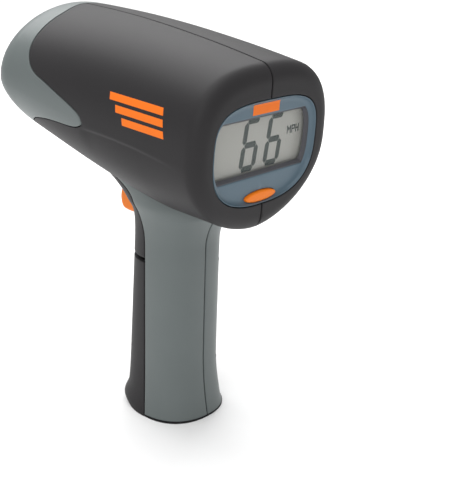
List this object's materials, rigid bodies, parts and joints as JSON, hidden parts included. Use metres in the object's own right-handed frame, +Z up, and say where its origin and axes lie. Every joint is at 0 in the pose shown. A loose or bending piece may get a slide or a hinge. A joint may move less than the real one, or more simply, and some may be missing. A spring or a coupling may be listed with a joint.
{
  "type": "speed radar gun",
  "caption": "Pistol-shaped handheld speed gun with a horn antenna in its barrel, a rear display, a trigger, a mode button and a battery grip.",
  "frame": {"origin": "centre of the grip's flat base", "axes": "+Y is the beam's direction, +Z is up the grip and +X is the user's right"},
  "size_m": [0.1042, 0.1532, 0.2135],
  "materials": {
    "dark_plastic": "fine satin texture",
    "grey_plastic": "satin, slightly metallic",
    "orange_plastic": "semi-gloss",
    "slate_plastic": "satin paint",
    "clear_plastic": "clear, polished",
    "panel_glass": "reflective display panel",
    "segment_ink": "dark liquid crystal",
    "black_plastic": "moulded",
    "white_plastic": "moulded",
    "circuit_board": "solder mask",
    "cast_metal": "as cast",
    "waveguide_brass": "machined",
    "cell_can": null,
    "steel": "zinc plated",
    "seal_rubber": "soft foam",
    "red_wire": "insulation",
    "black_wire": "insulation",
    "flat_cable": "ribbon"
  },
  "bodies": {
    "gun": {"left_housing": "dark_plastic", "right_housing": "dark_plastic", "nose_ring": "grey_plastic", "nose_cover": "dark_plastic", "nose_seal": "seal_rubber", "horn_antenna": "cast_metal", "transceiver": "waveguide_brass", "transceiver_screws": "steel", "left_grip": "grey_plastic", "right_grip": "grey_plastic", "base_plate": "dark_plastic", "front_strap": "dark_plastic", "door_pin": "steel", "trigger_pin": "steel", "trigger_spring": "steel", "trigger_switch": "black_plastic", "battery_tray": "black_plastic", "cells": "cell_can", "contact_spring": "steel", "contact_plate": "steel", "positive_lead": "red_wire", "negative_lead": "black_wire", "main_board": "circuit_board", "main_chips": "black_plastic", "display_bezel": "slate_plastic", "window": "clear_plastic", "lcd_panel": "panel_glass", "lcd_segments": "segment_ink", "lcd_frame": "white_plastic", "connector_strips": "seal_rubber", "display_board": "circuit_board", "display_chips": "black_plastic", "display_screws": "steel", "button_switch": "black_plastic", "housing_screws": "steel", "grip_screws": "steel", "display_cable": "flat_cable", "antenna_cable": "flat_cable"},
    "battery_door": {"battery_door": "dark_plastic"},
    "trigger": {"trigger": "orange_plastic"},
    "trigger_plunger": {"trigger_plunger": "white_plastic"},
    "mode_button": {"mode_button": "orange_plastic"},
    "button_plunger": {"button_plunger": "white_plastic"}
  },
  "joints": [
    {"name": "trigger_pull", "type": "hinge", "parent": "gun", "child": "trigger", "pos_m": [0, 0.022, 0.13], "axis": [-1, 0, 0], "range_deg": [0, 8], "stiffness_Nm_per_rad": 0.4, "springref_deg": -11.46, "deforming": ["trigger_spring"]},
    {"name": "trigger_switch_press", "type": "slide", "parent": "gun", "child": "trigger_plunger", "axis": [0, 0, 1], "range_m": [0, 0.0007]},
    {"name": "mode_press", "type": "slide", "parent": "gun", "child": "mode_button", "axis": [0, 0.9984, 0.0558], "range_m": [0, 0.0009], "stiffness_N_per_m": 900, "springref_m": -0.0006},
    {"name": "mode_switch_press", "type": "slide", "parent": "gun", "child": "button_plunger", "axis": [0, 0.9984, 0.0558], "range_m": [0, 0.00063]},
    {"name": "door_swing", "type": "hinge", "parent": "gun", "child": "battery_door", "pos_m": [0, 0.0154, 0.0896], "axis": [1, 0, 0], "range_deg": [0, 60]}
  ],
  "couplings": [
    {"joint": "trigger_switch_press", "follows": "trigger_pull", "m_per_rad": 0.005},
    {"joint": "mode_switch_press", "follows": "mode_press", "ratio": 0.7}
  ]
}
